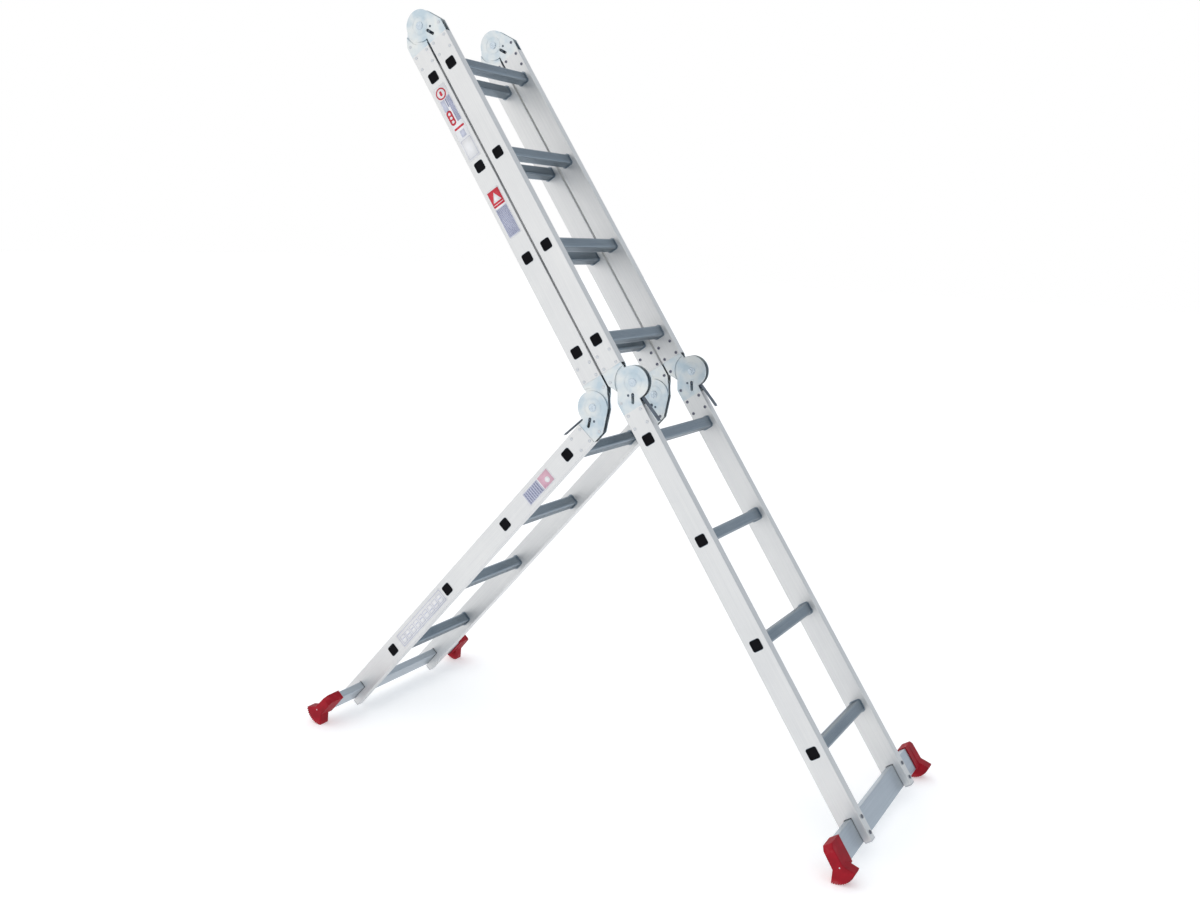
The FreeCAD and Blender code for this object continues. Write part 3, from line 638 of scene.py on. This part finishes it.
# %% Rivets
PACKED_RIVET_HEAD = 0.0013
RIVET_SHANK = [(0, -0.003), (0.0024, -0.003), (0.0024, 0)]
RIVET_HEAD = RIVET_SHANK + [
    (0.0043, 0), (0.0043, 0.0003), (0.0039, 0.0008), (0.0031, 0.0012), (0.0018, 0.0014), (0, 0.00145)
]
RIVET_TAIL = RIVET_SHANK + [
    (0.0041, 0), (0.0043, 0.0004), (0.0040, 0.0010), (0.0033, 0.0013),
    (0.0026, 0.0012), (0.0021, 0.0007), (0.0019, -0.0008), (0, -0.0012)
]
rivet_head = turned("rivet head", RIVET_HEAD)
rivet_tail = turned("rivet tail", RIVET_TAIL)
for section in SECTIONS:
    node = f"{section}_rivets"
    outer, inner = [], []
    for way in (ACROSS, -ACROSS):
        for seat, facing in seats_of(node, way, PACKED_RIVET_HEAD):
            (outer if seat.y * way.y > 0 else inner).append((seat, facing))
    heads = set_heads(f"{section}_rivet_heads", outer, rivet_head, rivet_steel)
    tails = set_heads(f"{section}_rivet_tails", inner, rivet_tail, rivet_tail_steel_painted_shade)
    for piece in (heads, tails):
        stand_for(piece, node)
    print(section, len(outer), "heads and", len(inner), "tails")

# %% [markdown]
# Each hinge turns on a pin as thick as a thumb. Its ends are headed over, with a rim, a shallow groove
# and a dot at the middle where the lathe held it. The pin is one closed turned solid, as long as the
# packed one.

# %% Pivot pins
PACKED_PIN_HEAD = 0.0016
PIN_HEAD = [
    (0.0105, 0), (0.0107, 0.0006), (0.0103, 0.0013), (0.0094, 0.0017),  # the rim
    (0.0082, 0.0017), (0.0076, 0.0012), (0.0066, 0.0011), (0.0058, 0.0015),  # the groove
    (0.0040, 0.0018), (0.0030, 0.0018), (0.0020, 0.0009), (0, 0.0005)  # the dot
]


def pin_outline(length):
    """Half of the pin's outline, from its middle to one end, is mirrored for the other end."""
    half = length / 2
    end = [(0.008, 0), (0.008, half)] + [(radius, half + height) for radius, height in PIN_HEAD]
    return [(radius, -height) for radius, height in reversed(end)] + end[1:]


for hinge in HINGES:
    node = f"{hinge}_pivot_pins"
    pins = islands(node)
    length = max(p.y for p in pins[0]) - min(p.y for p in pins[0]) - 2 * PACKED_PIN_HEAD
    pin = turned(f"pin {hinge}", pin_outline(length), steps=40)
    seats = [((tip(island, ACROSS) + tip(island, -ACROSS)) / 2, ACROSS) for island in pins]
    piece = set_heads(f"{hinge}_pins", seats, pin, pin_steel[hinge])
    stand_for(piece, node)
    bpy.data.objects.remove(pin)
    print(hinge, len(seats), "pins", round(1000 * length, 1), "mm between their heads")

# %% [markdown]
# The screws that hold a bar have round heads with a cross cut in them. The head is turned, and then the
# points near its two middle lines are pushed down to make the cross, which needs no boolean. Each screw
# stops at a chance turn.

# %% Bar screws
PACKED_SCREW_HEAD = 0.0024
SCREW_HEAD = [
    (0, -0.004), (0.0025, -0.004), (0.0025, 0), (0.005, 0), (0.005, 0.0008),
    (0.0046, 0.0017), (0.0038, 0.0023), (0.0026, 0.0025), (0.0012, 0.0025), (0, 0.0025)
]
CROSS_TOP = 0.0022
CROSS_HALF = 0.0006
CROSS_DEPTH = 0.0014
FULL_TURN = 6.28
screw_head = turned("screw head", SCREW_HEAD, steps=32)
for vert in screw_head.data.vertices:
    across_cross = min(abs(vert.co.x), abs(vert.co.y))
    if vert.co.z > CROSS_TOP and across_cross < CROSS_HALF:
        vert.co.z -= CROSS_DEPTH
for end in ("front", "rear"):
    node = f"{end}_bar_screws"
    front = places[f"{end}_lower"].col[0].to_3d()
    way = front if end == "front" else -front
    seats = seats_of(node, way, PACKED_SCREW_HEAD)
    piece = set_heads(f"{end}_screw_heads", seats, screw_head, screw_steel, turn=FULL_TURN, seed=4)
    stand_for(piece, node)
    print(end, len(piece.data.polygons), "faces of screw heads")

# %% [markdown]
# A small pin through the outer end of each foot keeps it on its bar. It shows as one pale dot at the
# waist, near the middle of the rocker, and its head stands only a quarter of a millimetre out.

# %% Foot pins
FOOT_PIN_LEVEL = -1.200
FOOT_PIN_FORWARD = 0.005
FOOT_PIN_HEAD = [(0, -0.002), (0.0017, -0.002), (0.0017, 0.00005), (0.0014, 0.0002), (0, 0.00025)]
foot_pin = turned("foot pin", FOOT_PIN_HEAD, steps=20)
for end in ("front", "rear"):
    forward = FOOT_PIN_FORWARD if end == "front" else -FOOT_PIN_FORWARD
    seats = []
    for side, way in zip(SIDES, (-ACROSS, ACROSS)):
        foot_low, foot_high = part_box(f"{end}_foot_{side}")
        spot = places[f"{end}_lower"] @ Vector((forward, 0, FOOT_PIN_LEVEL))
        spot.y = foot_low.y if way.y < 0 else foot_high.y
        seats.append((spot, way))
    piece = set_heads(f"{end}_foot_pins", seats, foot_pin, rivet_steel)
    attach(piece, f"{end}_lower")
    print(piece.name, [round(v, 3) for v in seats[0][0]])
for head in (rivet_head, rivet_tail, screw_head, foot_pin):
    bpy.data.objects.remove(head)

# %% [markdown]
# Labels are thin vinyl with ink on top. They could be painted by a material, but then the rail's mesh
# would carry no trace of them. Here each is a film as thin as paper, with its printed shapes as slabs
# that are thinner still, so it has a real edge. The prints are plain shapes and rows of dashes, and say
# nothing.

# %% Label inks and shapes
def printed(name, light, dark, gloss=(0.3, 0.42)):
    return moulded(name, [(0.3, dark), (0.7, light)], gloss, 2500.0, 0.05)


label_inks = {
    "film": printed("white label film", (0.80, 0.80, 0.81), (0.74, 0.74, 0.76)),
    "red": printed("red label ink", (0.62, 0.015, 0.04), (0.50, 0.01, 0.03)),
    "slate": printed("slate label ink", (0.27, 0.29, 0.42), (0.20, 0.22, 0.34)),
    "mist": printed("pale label ink", (0.56, 0.58, 0.68), (0.48, 0.50, 0.62)),
    "rose": printed("rose label ink", (0.68, 0.42, 0.50), (0.60, 0.34, 0.44)),
}
INKS = list(label_inks)
FILM = 0.00018
INK = 0.00005
DASH_LENGTHS = (0.002, 0.009)
DASH_GAP = 0.0008
DASH_SHARE = 0.62
DASH_CORNER = 0.0002


def box_shape(x, z, width, height, corner=0.0008):
    """The outline of a rectangle with rounded corners about (x, z)."""
    outline = []
    for turn, (sx, sz) in enumerate(((1, 1), (-1, 1), (-1, -1), (1, -1))):
        cx = x + sx * (width / 2 - corner)
        cz = z + sz * (height / 2 - corner)
        for step in range(4):
            angle = math.radians(90 * turn + 30 * step)
            outline.append((cx + corner * math.cos(angle), cz + corner * math.sin(angle)))
    return outline


def disc_shape(x, z, radius, sides=40):
    angles = [2 * math.pi * k / sides for k in range(sides)]
    return [(x + radius * math.cos(a), z + radius * math.sin(a)) for a in angles]


def rows_of_dashes(x, z, width, height, row, chance):
    """Rows that read as small print from afar."""
    dashes = []
    level = z + height / 2 - row / 2
    while level > z - height / 2:
        at = x - width / 2
        while at < x + width / 2 - DASH_LENGTHS[0]:
            long = min(chance.uniform(*DASH_LENGTHS), x + width / 2 - at)
            dashes.append(box_shape(at + long / 2, level, long, row * DASH_SHARE, DASH_CORNER))
            at += long + DASH_GAP
        level -= row
    return dashes


def label(name, section, z, prints):
    """A label on the left rail's outer face. Prints are (ink, layer, outline about the label's middle)."""
    rail_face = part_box(f"{section}_rail_left")[0].y
    shape = bmesh.new()
    for ink, layer, outline in prints:
        base = 0.0 if layer == 0 else FILM + INK * (layer - 1)
        top = FILM + INK * layer
        rings = []
        for depth in (base, top):
            ring = []
            for px, pz in outline:
                spot = places[section] @ Vector((px, 0, z + pz))
                ring.append(shape.verts.new((spot.x, rail_face - depth, spot.z)))
            rings.append(ring)
        faces = [shape.faces.new(rings[0]), shape.faces.new(rings[1])]
        count = len(outline)
        for k in range(count):
            after = (k + 1) % count
            faces.append(shape.faces.new((rings[0][k], rings[0][after], rings[1][after], rings[1][k])))
        for face in faces:
            face.material_index = INKS.index(ink)
    bmesh.ops.recalc_face_normals(shape, faces=shape.faces)
    piece = make_piece(name, shape, *label_inks.values())
    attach(piece, section)
    print(name, len(prints), "printed shapes")


print(len(label_inks), "inks")

# %% [markdown]
# Four labels are on the left rail. The long one has a red ring, a red badge with three windows, blocks
# of print and an open box. A number before each outline says which layer it lies on, counted from the
# film. The square one has a white triangle on red over a block of print. The two on the lower rear
# section are paler.

# %% Labels
LABEL_WIDTH = 0.042
LABEL_CORNER = 0.002
STRIP_CELLS = 9
STRIP_TOP = 0.092
STRIP_PITCH = 0.023
chance = random.Random(7)
long_print = [("film", 0, box_shape(0, 0, LABEL_WIDTH, 0.226, LABEL_CORNER))]
long_print += [("red", 1, disc_shape(-0.003, 0.091, 0.0165))]
long_print += [("film", 2, disc_shape(-0.003, 0.091, 0.0125))]
long_print += [("red", 3, box_shape(-0.003, 0.091, 0.008, 0.014, 0.003))]
long_print += [("mist", 1, box_shape(-0.010, 0.056, 0.014, 0.034))]
long_print += [("slate", 1, box_shape(0.001, 0.060, 0.004, 0.026))]
long_print += [("mist", 1, box_shape(0.011, 0.038, 0.014, 0.078))]
long_print += [("slate", 2, dash) for dash in rows_of_dashes(0.011, 0.038, 0.013, 0.074, 0.0034, chance)]
long_print += [("red", 1, box_shape(-0.009, 0.018, 0.018, 0.044, 0.008))]
long_print += [("film", 2, disc_shape(-0.009, level, 0.0042)) for level in (0.030, 0.018, 0.006)]
long_print += [("red", 1, box_shape(0, -0.016, 0.034, 0.006, 0.002))]
long_print += [("mist", 1, box_shape(0.002, -0.036, 0.016, 0.020))]
long_print += [("mist", 1, box_shape(0, -0.080, 0.034, 0.056, 0.002))]
long_print += [("film", 2, box_shape(0, -0.080, 0.032, 0.054, 0.002))]
label("rear_upper_long_label", "rear_upper", 0.8405, long_print)

square_print = [("film", 0, box_shape(0, 0, LABEL_WIDTH, 0.142, LABEL_CORNER))]
square_print += [("red", 1, box_shape(0, 0.044, 0.038, 0.046))]
square_print += [("film", 2, [(-0.014, 0.034), (0.014, 0.034), (0.0, 0.060)])]
square_print += [("film", 2, box_shape(0, 0.0275, 0.034, 0.0016, 0.0004))]
square_print += [("mist", 1, box_shape(0, -0.026, 0.038, 0.084))]
square_print += [("slate", 2, dash) for dash in rows_of_dashes(0, -0.026, 0.036, 0.080, 0.0036, chance)]
label("rear_upper_square_label", "rear_upper", 0.561, square_print)

small_print = [("film", 0, box_shape(0, 0, LABEL_WIDTH, 0.112, LABEL_CORNER))]
small_print += [("rose", 1, box_shape(0, 0.033, 0.036, 0.040))]
small_print += [("film", 2, disc_shape(0.004, 0.036, 0.008))]
small_print += [("mist", 1, box_shape(0, -0.021, 0.036, 0.062))]
small_print += [("slate", 2, dash) for dash in rows_of_dashes(0, -0.021, 0.032, 0.056, 0.0072, chance)]
label("rear_lower_small_label", "rear_lower", -0.270, small_print)

strip_print = [("film", 0, box_shape(0, 0, LABEL_WIDTH, 0.222, LABEL_CORNER))]
strip_print += [("mist", 1, box_shape(0, 0, 0.038, 0.216, 0.002))]
strip_print += [("film", 2, box_shape(0, 0, 0.0345, 0.2125, 0.002))]
for k in range(STRIP_CELLS):
    level = STRIP_TOP - STRIP_PITCH * k
    strip_print.append(("mist", 3, box_shape(0.002, level, 0.024, 0.0195, 0.001)))
    strip_print.append(("film", 4, box_shape(0.002, level, 0.021, 0.0165, 0.001)))
    mark = 0.002 + chance.uniform(-0.004, 0.004)
    strip_print.append(("mist", 5, box_shape(mark, level, 0.003, 0.012, 0.0008)))
label("rear_lower_strip_label", "rear_lower", -0.834, strip_print)
